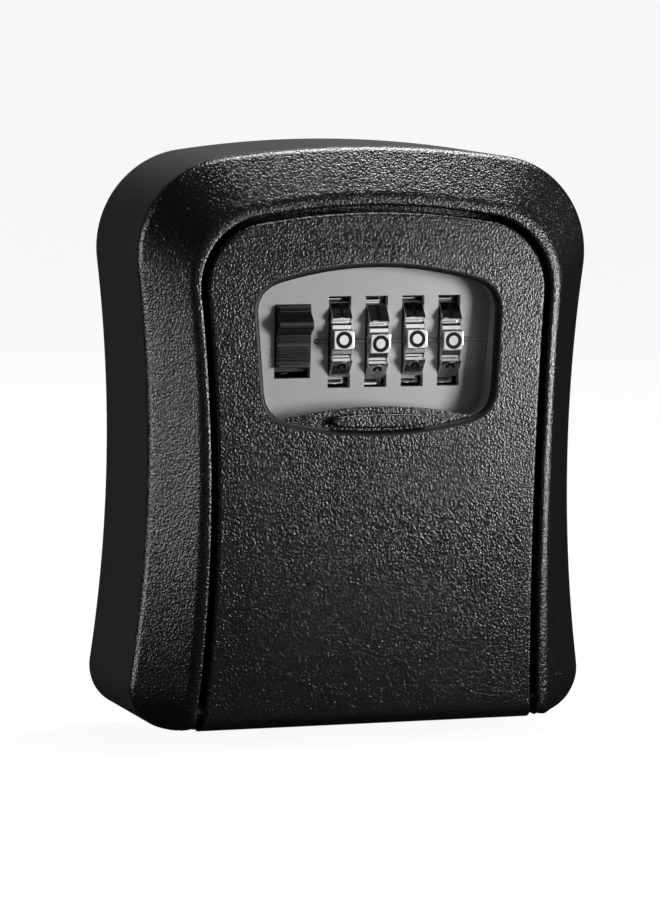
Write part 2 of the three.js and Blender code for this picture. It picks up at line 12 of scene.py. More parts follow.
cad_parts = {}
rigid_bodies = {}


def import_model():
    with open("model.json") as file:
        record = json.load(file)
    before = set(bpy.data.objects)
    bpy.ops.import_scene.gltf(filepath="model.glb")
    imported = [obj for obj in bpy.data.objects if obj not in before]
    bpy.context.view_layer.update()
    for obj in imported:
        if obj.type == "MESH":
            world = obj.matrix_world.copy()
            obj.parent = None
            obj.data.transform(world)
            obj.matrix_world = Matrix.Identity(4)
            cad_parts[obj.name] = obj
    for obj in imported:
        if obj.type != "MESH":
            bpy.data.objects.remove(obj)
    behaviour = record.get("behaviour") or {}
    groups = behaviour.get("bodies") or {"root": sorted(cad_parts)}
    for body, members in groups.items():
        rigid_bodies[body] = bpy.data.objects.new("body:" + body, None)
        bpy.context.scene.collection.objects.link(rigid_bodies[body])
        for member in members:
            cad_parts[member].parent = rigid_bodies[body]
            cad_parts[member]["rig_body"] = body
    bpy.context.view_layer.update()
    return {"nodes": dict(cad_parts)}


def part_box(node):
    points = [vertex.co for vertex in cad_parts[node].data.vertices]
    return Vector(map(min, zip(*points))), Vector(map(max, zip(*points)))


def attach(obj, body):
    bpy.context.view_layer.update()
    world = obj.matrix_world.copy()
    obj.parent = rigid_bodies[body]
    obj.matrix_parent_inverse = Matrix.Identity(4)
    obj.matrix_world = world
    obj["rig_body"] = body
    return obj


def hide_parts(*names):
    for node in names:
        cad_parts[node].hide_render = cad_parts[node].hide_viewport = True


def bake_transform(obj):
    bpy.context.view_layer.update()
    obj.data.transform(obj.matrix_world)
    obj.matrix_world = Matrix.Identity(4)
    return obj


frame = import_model()

# ---- camera, floor and light --------------------------------------------------------------
# The camera looks from the left and from a little above, through a long lens. Only it sees the
# pale floor and the backdrop. The floor lies just under the box, as the open door dips below the
# lower edge. Soft panels light the box from the right, the front, above, the left and the back.

MM = 0.001
FLOOR_DROP = 3.5
FLOOR_SIZE = 60
BACKDROP_RADIUS = 25
case_low, case_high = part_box("rear_case")


def at(x, depth, z):
    """A place in metres, from millimetres across, out from the wall and up from the lower edge."""
    return Vector((x * MM, case_high.y - depth * MM, case_low.z + z * MM))


camera_turn = (
    Matrix.Rotation(math.radians(-19.97), 4, "Z")
    @ Matrix.Rotation(math.radians(90 - 6.83), 4, "X")
    @ Matrix.Rotation(math.radians(1.0), 4, "Z")
)
bpy.ops.object.select_all(action="DESELECT")
bpy.ops.object.camera_add()
camera = bpy.context.object
camera.name = "camera"
camera.data.lens = 181
camera.data.sensor_width = 36
camera.matrix_world = Matrix.Translation(at(-319.2, 889, 165.7)) @ camera_turn
bpy.context.scene.camera = camera


def seen_by_camera_only(piece):
    """Lets a piece give the box no light, no shadow and no reflection."""
    piece.visible_glossy = False
    piece.visible_diffuse = False
    piece.visible_shadow = False


bpy.ops.mesh.primitive_plane_add(size=FLOOR_SIZE, location=at(0, 0, -FLOOR_DROP))
floor = bpy.context.object
floor.name = "floor"
seen_by_camera_only(floor)
bpy.ops.object.transform_apply(location=True)
floor_paint = bpy.data.materials.new("floor_paint")
floor_paint.use_nodes = True
floor_shader = floor_paint.node_tree.nodes["Principled BSDF"]
floor_shader.inputs["Base Color"].default_value = (0.06, 0.06, 0.06, 1)
floor_shader.inputs["Roughness"].default_value = 0.9
floor_shader.inputs["Emission Color"].default_value = (1, 1, 1, 1)
floor_shader.inputs["Emission Strength"].default_value = 0.93
floor.data.materials.append(floor_paint)

bpy.ops.object.select_all(action="DESELECT")
bpy.ops.mesh.primitive_uv_sphere_add(radius=BACKDROP_RADIUS, location=(0, 0, 0))
backdrop = bpy.context.object
backdrop.name = "backdrop"
seen_by_camera_only(backdrop)
backdrop.data.materials.append(floor_paint)


def soft_panel(name, place, width, height, watts):
    """A rectangular light that faces the middle of the box."""
    bpy.ops.object.light_add(type="AREA", location=place)
    panel = bpy.context.object
    panel.name = name
    panel.rotation_euler = (at(0, 20, 59) - Vector(place)).to_track_quat("-Z", "Y").to_euler()
    panel.data.shape = "RECTANGLE"
    panel.data.size = width
    panel.data.size_y = height
    panel.data.energy = watts


soft_panel("key_panel", (0.223, -0.221, 0.02), 0.09, 0.14, 1.3)
soft_panel("front_panel", (0.177, -0.5, 0.11), 0.06, 0.4, 0.075)
soft_panel("centre_panel", (-0.083, -0.61, 0.0), 0.1, 0.3, 0.06)
soft_panel("low_panel", (0.177, -0.379, -0.3), 0.08, 0.12, 0.024)
soft_panel("top_panel", (0.168, 0.02, 0.47), 0.24, 0.24, 5)
soft_panel("left_panel", (-0.496, 0.041, 0.05), 0.16, 0.24, 1.5)
soft_panel("side_panel", (-0.433, -0.27, 0.03), 0.12, 0.16, 0.065)
soft_panel("back_panel", (0.2, 0.7, 0.25), 0.5, 0.4, 0.4)

room = bpy.data.worlds.new("room")
room.use_nodes = True
room_light = room.node_tree.nodes["Background"]
room_light.inputs["Color"].default_value = (0.9, 0.92, 0.95, 1)
room_light.inputs["Strength"].default_value = 0.015
bpy.context.scene.world = room
bpy.context.scene.view_settings.view_transform = "Standard"

# ---- rear case ----------------------------------------------------------------------------
# One die-cast shell: a waisted side wall with an arched top, and a flat back with four wall holes.
# Its walls are smooth, under a matte black coat. Four screws in counterbores hold the front frame.


class Wire:
    """An output of a shader node, on which sums are written as they are on numbers."""

    def __init__(self, finish, socket):
        self.finish = finish
        self.socket = socket

    def sum(self, operation, first, second):
        return self.finish.node("Math", {"operation": operation}, {0: first, 1: second})

    def __add__(self, other):
        return self.sum("ADD", self, other)

    def __radd__(self, other):
        return self.sum("ADD", other, self)

    def __sub__(self, other):
        return self.sum("SUBTRACT", self, other)

    def __rsub__(self, other):
        return self.sum("SUBTRACT", other, self)

    def __mul__(self, other):
        return self.sum("MULTIPLY", self, other)

    def __rmul__(self, other):
        return self.sum("MULTIPLY", other, self)


class Finish:
    """A material with one Principled shader, for one of the record's slots."""

    def __init__(self, name, slot, **constants):
        self.slot = slot
        self.material = bpy.data.materials.new(name)
        self.material.use_nodes = True
        self.tree = self.material.node_tree
        self.place = self.node("TexCoord", {}, {}, "Object")
        for key, value in constants.items():
            self.feed(key.replace("_", " ").title().replace("Ior", "IOR"), value)

    def node(self, kind, settings, inputs, output=0):
        """Adds a node, with its settings first and then the values or wires of its sockets."""
        made = self.tree.nodes.new("ShaderNode" + kind)
        for key, value in settings.items():
            setattr(made, key, value)
        for key, value in inputs.items():
            self.join(made.inputs[key], value)
        return Wire(self, made.outputs[output])

    def join(self, socket, value):
        if isinstance(value, Wire):
            self.tree.links.new(value.socket, socket)
        else:
            socket.default_value = value

    def feed(self, key, value):
        """Sets a socket of the shader itself, or wires it."""
        self.join(self.tree.nodes["Principled BSDF"].inputs[key], value)

    def noise(self, size, detail=2.0, stretch=(1, 1, 1)):
        """A cloudy pattern from 0 to 1, whose spots are about so many millimetres wide."""
        spread = [1 / (size * MM * part) for part in stretch]
        scaled = self.node("VectorMath", {"operation": "MULTIPLY"}, {0: self.place, 1: spread})
        return self.node("TexNoise", {}, {"Vector": scaled, "Scale": 1.0, "Detail": detail})

    def between(self, low, high, share):
        """A colour between two others."""
        inputs = {"Factor": share, 6: (*low, 1), 7: (*high, 1)}
        return self.node("Mix", {"data_type": "RGBA"}, inputs, 2)

    def raised(self, height, tall, strength=1.0):
        """Feeds a bump: a pattern from 0 to 1 that stands so many millimetres tall."""
        bump = {"Height": height, "Distance": tall * MM, "Strength": strength}
        self.feed("Normal", self.node("Bump", {}, bump))


smooth_black = Finish("smooth_black", "smooth_black", specular_ior_level=0.15)
mottle = smooth_black.noise(9, 3)
case_coat = smooth_black.between((0.011, 0.011, 0.012), (0.016, 0.016, 0.018), mottle)
smooth_black.feed("Base Color", case_coat)
smooth_black.feed("Roughness", 0.52 + 0.1 * smooth_black.noise(3))
smooth_black.raised(smooth_black.noise(0.25), 0.006)


def arc(centre, radius, start, end, steps):
    """Points on an arc in the front view, from one angle to another."""
    turns = [start + (end - start) * i / steps for i in range(steps + 1)]
    return [centre + radius * Vector((math.cos(turn), math.sin(turn))) for turn in turns]


def heading(start, end):
    return math.atan2(end.y - start.y, end.x - start.x)


def arched(waist, waist_z, side, arch, top, corner, foot):
    """The case or its opening from the front: from the right foot over the top to the left one."""
    side_centre = Vector((waist + side, waist_z))
    arch_centre = Vector((0, top - arch))
    apart = side_centre - arch_centre
    along = (apart.length**2 + (arch - corner) ** 2 - (side + corner) ** 2) / (2 * apart.length)
    aside = math.sqrt((arch - corner) ** 2 - along**2)
    ahead = apart.normalized()
    corner_centre = arch_centre + along * ahead + aside * Vector((-ahead.y, ahead.x))
    side_top = heading(side_centre, corner_centre)
    arch_start = heading(arch_centre, corner_centre)
    if foot:
        reach = math.sqrt((side + foot) ** 2 - (foot - waist_z) ** 2)
        foot_centre = Vector((side_centre.x - reach, foot))
        side_low = heading(side_centre, foot_centre) % math.tau
        foot_part = arc(foot_centre, foot, -math.pi / 2, heading(foot_centre, side_centre), 14)
    else:
        floor_angle = math.pi + math.asin(waist_z / side)
        side_low = math.pi + math.asin((waist_z - CASE["foot"]) / side)
        foot_part = arc(side_centre, side, floor_angle, side_low, 14)
    half = [
        *foot_part,
        *arc(side_centre, side, side_low, side_top, 28)[1:],
        *arc(corner_centre, corner, heading(corner_centre, side_centre), arch_start, 26)[1:],
        *arc(arch_centre, arch, arch_start, math.pi / 2, 20)[1:],
    ]
    return half + [Vector((-point.x, point.y)) for point in reversed(half[:-1])]


def grown(points, by):
    """A closed outline, drawn anticlockwise, moved outwards by a distance."""
    moved = []
    for i, here in enumerate(points):
        before = (here - points[i - 1]).normalized()
        after = (points[(i + 1) % len(points)] - here).normalized()
        outwards = Vector((before.y + after.y, -before.x - after.x))
        moved.append(here + outwards * by / (1 + before.dot(after)))
    return moved


def skin(name, rings, closed=True, capped=False):
    """A mesh through rings of places: a grid with a row of points for each ring, moved to them."""
    bpy.ops.object.select_all(action="DESELECT")
    across = len(rings[0]) - (0 if closed else 1)
    bpy.ops.mesh.primitive_grid_add(x_subdivisions=across, y_subdivisions=len(rings) - 1)
    piece = bpy.context.object
    piece.name = name
    places = [place for ring in rings for place in ([*ring, ring[0]] if closed else ring)]
    for vertex, place in zip(piece.data.vertices, places, strict=True):
        vertex.co = place
    bpy.ops.object.mode_set(mode="EDIT")
    bpy.ops.mesh.select_all(action="SELECT")
    bpy.ops.mesh.remove_doubles(threshold=1e-6)
    if capped:
        bpy.ops.mesh.fill_holes(sides=0)
        bpy.ops.mesh.select_all(action="SELECT")
    bpy.ops.mesh.normals_make_consistent(inside=False)
    bpy.ops.object.mode_set(mode="OBJECT")
    return piece


def only(piece):
    """Selects one piece and no other."""
    bpy.ops.object.select_all(action="DESELECT")
    piece.select_set(True)
    bpy.context.view_layer.objects.active = piece


def applied(piece, kind, **settings):
    """Adds a modifier and applies it."""
    only(piece)
    modifier = piece.modifiers.new(kind.lower(), kind)
    for key, value in settings.items():
        setattr(modifier, key, value)
    bpy.ops.object.modifier_apply(modifier=modifier.name)


def combined(piece, tool, operation="DIFFERENCE"):
    """Cuts a tool out of a piece, or adds it to the piece. The tool is used up."""
    applied(piece, "BOOLEAN", object=tool, operation=operation, solver="EXACT")
    bpy.data.objects.remove(tool)


def round_bar(start, end, radius, sides=32):
    """A round bar between two places."""
    bpy.ops.object.select_all(action="DESELECT")
    run = end - start
    bpy.ops.mesh.primitive_cylinder_add(
        vertices=sides,
        radius=radius * MM,
        depth=run.length,
        location=(start + end) / 2,
        rotation=run.to_track_quat("Z", "Y").to_euler(),
    )
    bpy.ops.object.transform_apply(location=True, rotation=True)
    return bpy.context.object


def finished(piece, finish, body, *nodes, degrees=32):
    """Smooths a piece, gives it its finish and its body, and hides the CAD nodes that it stands
    for.
    """
    only(piece)
    bpy.ops.object.shade_smooth_by_angle(angle=math.radians(degrees))
    applied(piece, "WEIGHTED_NORMAL", keep_sharp=True)
    piece.data.materials.clear()
    piece.data.materials.append(finish.material)
    if body:
        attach(piece, body)
    if nodes:
        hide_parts(*nodes)


CASE = {
    "waist": 45.7,
    "waist_z": 54,
    "side": 304,
    "arch": 220,
    "top": 118,
    "corner": 20,
    "foot": 9,
}
CASE_TRIM = 0.998  # keeps the sides just inside the frame's box
CASE_RIM = 28.3
CASE_WALL = 2.8
CASE_BACK = 3
CASE_SCREWS = [(-41.6, 14), (41.6, 14), (-39.5, 102), (39.5, 102)]
SCREW_BOSS = {"radius": 3.2, "bore": 1.7, "head_bore": 3.1, "head_depth": 2.2}
WALL_HOLES = [(-27, 22), (27, 22), (-27, 96), (27, 96)]
WALL_HOLE_RADIUS = 2.6
case_outline = [Vector((point.x * CASE_TRIM, point.y)) for point in arched(**CASE)]
case_profile = [
    (-CASE_WALL - 1, CASE_BACK),
    (-CASE_WALL - 0.3, CASE_BACK + 0.3),
    (-CASE_WALL, CASE_BACK + 1),
    (-CASE_WALL, CASE_RIM),
    (-0.25, CASE_RIM),
    (0, CASE_RIM - 0.25),
    (0, 1),
    (-0.13, 0.5),
    (-0.5, 0.13),
    (-1, 0),
]
case_rings = [[at(p.x, depth, p.y) for p in grown(case_outline, by)] for by, depth in case_profile]
rear_case = skin("case_shell", case_rings, capped=True)
for x, z in CASE_SCREWS:
    behind = at(x, -1, z)
    boss = round_bar(at(x, 2, z), at(x, CASE_RIM, z), SCREW_BOSS["radius"])
    combined(rear_case, boss, "UNION")
    combined(rear_case, round_bar(behind, at(x, CASE_RIM + 1, z), SCREW_BOSS["bore"]))
    head_bore = round_bar(behind, at(x, SCREW_BOSS["head_depth"], z), SCREW_BOSS["head_bore"])
    combined(rear_case, head_bore)
for x, z in WALL_HOLES:
    wall_hole = round_bar(at(x, -1, z), at(x, CASE_BACK + 1, z), WALL_HOLE_RADIUS)
    combined(rear_case, wall_hole)
finished(rear_case, smooth_black, "housing", "rear_case")

# ---- front frame --------------------------------------------------------------------------
# A die-cast frame round the door. A narrow flat land borders the door gap, and a wide soft bevel
# falls from it to the side wall. It has the same fine-grained black powder coat as the door.

grained_black = Finish("grained_black", "grained_black", specular_ior_level=0.5)
grain = grained_black.noise(0.44, 1.5)
fine_grain = grained_black.noise(0.2, 1)
grained_black.feed("Base Color", (0.004, 0.004, 0.0044, 1))
grained_black.feed("Roughness", 0.17 + 0.08 * grain)
grained_black.raised(grain + 0.25 * fine_grain, 0.17)

OPENING = {
    "waist": 35.35,
    "waist_z": 42,
    "side": 520,
    "arch": 150,
    "top": 106.3,
    "corner": 14.5,
    "foot": 0,
}
HINGE_DEPTH = 32.9
HINGE_Z = 4
FRONT = {"depth": -332.7, "z": 51.7, "radius": 372.7}
FRAME_FLANGE = 28.6
opening_outline = arched(**OPENING)


def front(z, radius=FRONT["radius"]):
    """How far the front stands out at a height: it is part of a large cylinder along X."""
    return FRONT["depth"] + math.sqrt(radius**2 - (z - FRONT["z"]) ** 2)


def toed(x, depth, z, all_round=False):
    """A place on the box, brought inside the round lower edge about the hinge."""
    out = depth - HINGE_DEPTH
    up = z - HINGE_Z
    reach = math.hypot(out, up)
    if up < 0 and reach > HINGE_Z and (out > 0 or all_round):
        depth = HINGE_DEPTH + out * HINGE_Z / reach
        z = HINGE_Z + up * HINGE_Z / reach
    return at(x, depth, z)


def eased(corners, steps=5):
    """A closed profile, each corner eased from and to a distance, given as (along, depth, ease)."""
    points = []
    for i, (along, depth, ease) in enumerate(corners):
        here = Vector((along, depth))
        start = here + (Vector(corners[i - 1][:2]) - here).normalized() * ease
        end = here + (Vector(corners[(i + 1) % len(corners)][:2]) - here).normalized() * ease
        for step in range(steps + 1):
            share = step / steps
            points.append(start.lerp(here, share).lerp(here.lerp(end, share), share))
    return points


def frame_ring(inner, outer):
    """The frame's profile between a point on the opening and its partner on the case outline."""
    width = (outer - inner).length
    squeeze = min(1, width / 4.5)
    face = front(inner.y)
    corners = [
        (0, face, 0.75),
        (2.1 * squeeze, face, 1.2 * squeeze),
        (width, 29.9, 1.2),
        (width, FRAME_FLANGE, 0.1),
        (width - 2.6 * squeeze, FRAME_FLANGE, 0.1),
        (2.4 * squeeze, face - 4.5, 0.3),
        (1.9 * squeeze, face - 5, 0.1),
        (1.9 * squeeze, 26, 0.1),
        (-2.2, 26, 0.2),
        (-2.2, 27.8, 0.3),
        (0, 27.8, 0.3),
    ]
    ring = []
    for along, depth in eased(corners):
        spot = inner.lerp(outer, along / width)
        inside_case = depth < FRAME_FLANGE - 0.01
        height = max(spot.y, CASE_WALL + 0.3) if inside_case else spot.y
        ring.append(toed(spot.x, depth, height))
    return ring


frame_rings = [frame_ring(*pair) for pair in zip(opening_outline, case_outline, strict=True)]
front_frame = skin("bevelled_frame", frame_rings, capped=True)
finished(front_frame, grained_black, "housing", "front_frame", degrees=40)

# ---- door panel ---------------------------------------------------------------------------
# A die-cast door, slightly convex from top to bottom, with the dial window let into it. Its edges
# are folded back all round, and its lower edge is the hinge barrel.

DOOR_GAP = 1.2
DOOR_BACK = 28.9
DOOR_SKIN = 1
DOOR_RIM = 1.8
DOOR_EDGE = 0.7
BARREL_TOP = 8.2
WINDOW_CENTRE = Vector((0, 77))
WINDOW_EDGE = 0.8
EDGE_SPREAD = 1.3


def bent(start, control, end, steps=8):
    """Points on a curve that leaves its start and reaches its end towards the control point."""
    shares = [step / steps for step in range(1, steps + 1)]
    a, b, c = Vector(start), Vector(control), Vector(end)
    return [a.lerp(b, share).lerp(b.lerp(c, share), share) for share in shares]


window_half = [
    Vector((0, 61)),
    *bent((0, 61), (10, 61), (19.3, 63.2)),
    *bent((19.3, 63.2), (24.27, 64.36), (24.6, 69)),
    Vector((25.7, 84.5)),
    *bent((25.7, 84.5), (26.05, 89.68), (20.5, 91.2)),
    *bent((20.5, 91.2), (10, 94), (0, 94)),
]
window_outline = window_half + [Vector((-p.x, p.y)) for p in reversed(window_half[1:-1])]


def seen_from(centre, outline, target):
    """Where the line from a centre towards a target meets an outline round the centre."""
    aim = target - centre
    for i, end in enumerate(outline):
        start = outline[i - 1] - centre
        side = end - centre - start
        turned = aim.x * side.y - aim.y * side.x
        if abs(turned) < 1e-9:
            continue
        reach = (start.x * side.y - start.y * side.x) / turned
        share = (start.x * aim.y - start.y * aim.x) / turned
        if reach > 0 and 0 <= share <= 1:
            return centre + reach * aim
    raise ValueError("the outline doesn't go round its centre")


door_arch = grown(opening_outline, -DOOR_GAP)
door_arch[0].y = door_arch[-1].y = 0
lower_edge = [door_arch[-1].lerp(door_arch[0], i / 44) for i in range(1, 44)]
door_outline = door_arch + lower_edge
window_loop = [seen_from(WINDOW_CENTRE, window_outline, point) for point in door_outline]


def quarter(radius, steps=5):
    """How far a round edge has come in and dropped, from its outer side up to the face."""
    turns = [math.pi / 2 * i / steps for i in range(steps + 1)]
    return [(radius * (1 - math.cos(turn)), radius * (1 - math.sin(turn))) for turn in turns]


def on_face(points, drop):
    return [toed(p.x, front(p.y) - drop, p.y, True) for p in points]


def under_face(points):
    heights = [max(p.y, BARREL_TOP) for p in points]
    return [at(p.x, front(z) - DOOR_SKIN, z) for p, z in zip(points, heights)]


def at_depth(points, depth, lowest=0.0):
    return [toed(p.x, depth, max(p.y, lowest), True) for p in points]


rim_loop = grown(door_outline, -DOOR_RIM)
face_start = grown(door_outline, -DOOR_EDGE)
face_end = grown(window_loop, 1.2)
side_depths = (DOOR_BACK, 29.6, 30.4, 31.3, 32.2, 33, 34, 35)
door_rings = [at_depth(door_outline, depth) for depth in side_depths]
for come_in, drop in quarter(DOOR_EDGE, 7):
    door_rings.append(on_face(grown(door_outline, -come_in), drop))
for share in [(i / 22) ** 1.7 for i in range(1, 23)]:
    door_rings.append(on_face([a.lerp(b, share) for a, b in zip(face_start, face_end)], 0))
for come_in, drop in reversed(quarter(WINDOW_EDGE, 8)):
    door_rings.append(on_face(grown(window_loop, come_in * EDGE_SPREAD), drop))
door_rings.append(on_face(window_loop, DOOR_SKIN))
for share in (0.25, 0.5, 0.75):
    door_rings.append(under_face([a.lerp(b, share) for a, b in zip(window_loop, rim_loop)]))
door_rings.append(under_face(rim_loop))
door_rings.append(at_depth(rim_loop, DOOR_BACK, BARREL_TOP))
door_rings.append(at_depth(rim_loop, DOOR_BACK, HINGE_Z))
door_rings.append(door_rings[0])
door_panel = skin("door_shell", door_rings)
finished(door_panel, grained_black, "door", "door_panel", degrees=40)

# ---- window lip ---------------------------------------------------------------------------
# The rolled edge round the window, under a darker, less glossy sheet without grain: painted shade
# where the edge turns away from the lights. It is a thin shell over the door's own edge, and it
# moves with the door.

LIP = {"radius": 0.85, "spread": 1.2, "stands": 0.04, "sunk": 0.2}

# Painted shade: the lip's dark, dull finish stands for the shade on the rolled edge, varied at
# random.
lip_painted_shade = Finish("lip_painted_shade", "grained_black", specular_ior_level=0.2)
lip_shade_mottle = lip_painted_shade.noise(0.8, 2)
lip_shade_colour = lip_painted_shade.between((0.002, 0.002, 0.002), (0.005, 0.005, 0.005), lip_shade_mottle)
lip_painted_shade.feed("Base Color", lip_shade_colour)
lip_painted_shade.feed("Roughness", 0.4 + 0.15 * lip_shade_mottle)
lip_painted_shade.raised(lip_shade_mottle, 0.02)


def lip_ring(come_in, drop, sunk):
    """A loop round the window's rolled edge, just above the door's skin or sunk in it."""
    loop = grown(window_loop, come_in - LIP["stands"] + sunk)
    return on_face(loop, drop - LIP["stands"] + sunk)


lip_profile = [(come_in * LIP["spread"], drop) for come_in, drop in quarter(LIP["radius"], 8)]
lip_rings = [lip_ring(come_in, drop, 0) for come_in, drop in lip_profile]
lip_rings += [lip_ring(come_in, drop, LIP["sunk"]) for come_in, drop in reversed(lip_profile)]
window_lip = skin("window_lip", [*lip_rings, lip_rings[0]])
finished(window_lip, lip_painted_shade, "door", degrees=40)

# ---- dust shutter -------------------------------------------------------------------------
# A thin sheet that slides in the door behind its skin. Its arched upper edge and its finger tab
# show at the bottom of the window. It has the door's coat.

SHUTTER = {
    "inner": 370.6,
    "outer": 371.4,
    "half_width": 27.2,
    "low": 30,
    "shoulder": 61.9,
    "crown": 65.9,
}
SHUTTER_COLUMNS = 48
SHUTTER_ROWS = 14
TAB = {"half_width": 10.3, "low": 61.7, "high": 64.5, "front": 373.15, "edge": 0.45}
TAB_POINTS = 72


def shutter_top(x):
    """The height of the shutter's arched upper edge."""
    share = x / SHUTTER["half_width"]
    return SHUTTER["crown"] - (SHUTTER["crown"] - SHUTTER["shoulder"]) * share**2


def softened(piece, width, degrees=42):
    """Rounds a piece's edges, where two faces meet at more than an angle."""
    settings = {"segments": 2, "limit_method": "ANGLE", "angle_limit": math.radians(degrees)}
    applied(piece, "BEVEL", width=width * MM, **settings)


half_width, low = SHUTTER["half_width"], SHUTTER["low"]
columns = [half_width * (2 * i / SHUTTER_COLUMNS - 1) for i in range(SHUTTER_COLUMNS + 1)]
shutter_rings = []
for step in range(SHUTTER_ROWS + 1):
    heights = [low + (shutter_top(x) - low) * step / SHUTTER_ROWS for x in columns]
    shutter_rings.append([at(x, front(z, SHUTTER["outer"]), z) for x, z in zip(columns, heights)])
dust_shutter = skin("shutter_sheet", shutter_rings, closed=False)
applied(dust_shutter, "SOLIDIFY", thickness=(SHUTTER["outer"] - SHUTTER["inner"]) * MM, offset=-1)
softened(dust_shutter, 0.18, degrees=30)


def tab_loop(inset, radius):
    """The tab's outline, a long flattened oval, at a distance from the front curve's axis."""
    middle = (TAB["low"] + TAB["high"]) / 2
    half_height = (TAB["high"] - TAB["low"]) / 2 - inset
    half_width = TAB["half_width"] - inset
    loop = []
    for i in range(TAB_POINTS):
        turn = math.tau * i / TAB_POINTS
        across = math.copysign(abs(math.cos(turn)) ** 0.55, math.cos(turn))
        up = math.copysign(abs(math.sin(turn)) ** 0.8, math.sin(turn))
        x = half_width * across
        z = middle + half_height * up
        loop.append(at(x, front(z, radius), z))
    return loop


tab_rings = [tab_loop(0, SHUTTER["inner"] + 0.2)]
for come_in, drop in quarter(TAB["edge"]):
    tab_rings.append(tab_loop(come_in, TAB["front"] - drop))
tab_rings.append(tab_loop(2 * TAB["edge"], TAB["front"]))
finger_tab = skin("finger_tab", tab_rings, capped=True)
only(dust_shutter)
finger_tab.select_set(True)
bpy.ops.object.join()
finished(dust_shutter, grained_black, "shutter", "dust_shutter", degrees=40)

# ---- dial plate ---------------------------------------------------------------------------
# A moulded plastic plate with satin silver-grey paint. It has a slot for each dial and one for the
# slider, and an index line of two fine grooves that crosses it at the height of the dials' axle.

plate_grey = Finish("plate_grey", "plate_grey", specular_ior_level=0.5)
flecks = plate_grey.noise(0.3, 1)
clouds = plate_grey.noise(7, 3)
plate_shade = clouds * 0.6 + flecks * 0.4
plate_paint = plate_grey.between((0.27, 0.275, 0.285), (0.36, 0.365, 0.375), plate_shade)
plate_grey.feed("Base Color", plate_paint)
plate_grey.feed("Roughness", 0.42 + 0.12 * flecks)
plate_grey.raised(flecks, 0.008)


def mended(node, name):
    """A copy of a CAD node as one mesh, with its flat faces made whole again."""
    piece = bpy.data.objects.new(name, frame["nodes"][node].data.copy())
    bpy.context.collection.objects.link(piece)
    only(piece)
    bpy.ops.object.mode_set(mode="EDIT")
    bpy.ops.mesh.select_all(action="SELECT")
    bpy.ops.mesh.remove_doubles(threshold=2e-6)
    bpy.ops.mesh.dissolve_limited(angle_limit=math.radians(0.5))
    bpy.ops.object.mode_set(mode="OBJECT")
    return piece


def box_bar(low, high):
    """A plain block between two places, to cut with or to add."""
    bpy.ops.object.select_all(action="DESELECT")
    bpy.ops.mesh.primitive_cube_add(size=1, location=(low + high) / 2)
    bar = bpy.context.object
    bar.scale = [abs(part) for part in high - low]
    bpy.ops.object.transform_apply(location=True, scale=True)
    return bar


AXLE_DEPTH = 26
AXLE_Z = 78.8
PLATE_FRONT = 33.5
PLATE_EDGE = 0.1
INDEX_LINE = {"left": -12.3, "right": 24.4, "high": 1.1, "deep": 0.6, "island": 0.22}
dial_plate = mended("dial_plate", "window_plate")
half_line = INDEX_LINE["high"] / 2
line_end = INDEX_LINE["left"] + half_line
line_floor = PLATE_FRONT - INDEX_LINE["deep"]
line_cut = box_bar(
    at(line_end, PLATE_FRONT + 1, AXLE_Z - half_line),
    at(INDEX_LINE["right"], line_floor, AXLE_Z + half_line),
)
end_low, end_high = (at(line_end, depth, AXLE_Z) for depth in (line_floor, PLATE_FRONT + 1))
combined(line_cut, round_bar(end_low, end_high, half_line), "UNION")
island = box_bar(
    at(line_end, PLATE_FRONT + 2, AXLE_Z - INDEX_LINE["island"]),
    at(INDEX_LINE["right"] + 1, line_floor - 1, AXLE_Z + INDEX_LINE["island"]),
)
combined(line_cut, island)
combined(dial_plate, line_cut)
softened(dial_plate, PLATE_EDGE)
finished(dial_plate, plate_grey, "door", "dial_plate", degrees=42)

# ---- code dials ---------------------------------------------------------------------------
# Four chrome-plated rings. Each has ten flats with a black digit, and a deep notch between flats
# for the fingertip and for the detent. A cam inside each one turns with it.

chrome = Finish("chrome", "chrome", metallic=1.0)
smears = chrome.noise(2.5, 3)
chrome.feed("Base Color", chrome.between((0.78, 0.78, 0.79), (0.86, 0.86, 0.87), smears))
chrome.feed("Roughness", 0.07 + 0.1 * smears)
chrome.raised(chrome.noise(0.5, 2, (4, 1, 1)), 0.004)

digit_black = Finish("digit_black", "matte_black", specular_ior_level=0.12)
fill_shade = digit_black.noise(0.4)
fill = digit_black.between((0.001, 0.001, 0.001), (0.004, 0.004, 0.004), fill_shade)
digit_black.feed("Base Color", fill)
digit_black.feed("Roughness", 0.45 + 0.1 * digit_black.noise(0.3))

DIAL = {"count": 4, "first": -6.7, "pitch": 7.9, "half_width": 2.15, "bore": 4.5, "edge": 0.16}
DIAL_PLAY = [2.7, -2.2, 2.7, 0]  # degrees by which each dial rests off its middle
FLAT = 10.33
TOOTH = [(-11, 10.5), (11, 10.5), (12.5, 9.3), (18, 9.45), (23.5, 9.3)]  # degrees and radius
ZERO = {"inner": 1.0, "outer": 1.74, "half_thick": 0.04}
DIGIT = {"size": 4.4, "high": 3.2, "bold": 0.12, "half_thick": 0.02}


def round_axle(x, radius, degrees):
    """A place at a radius and an angle about the dials' axle: 0 faces the front, 90 is up."""
    turn = math.radians(degrees)
    return at(x, AXLE_DEPTH + radius * math.cos(turn), AXLE_Z + radius * math.sin(turn))


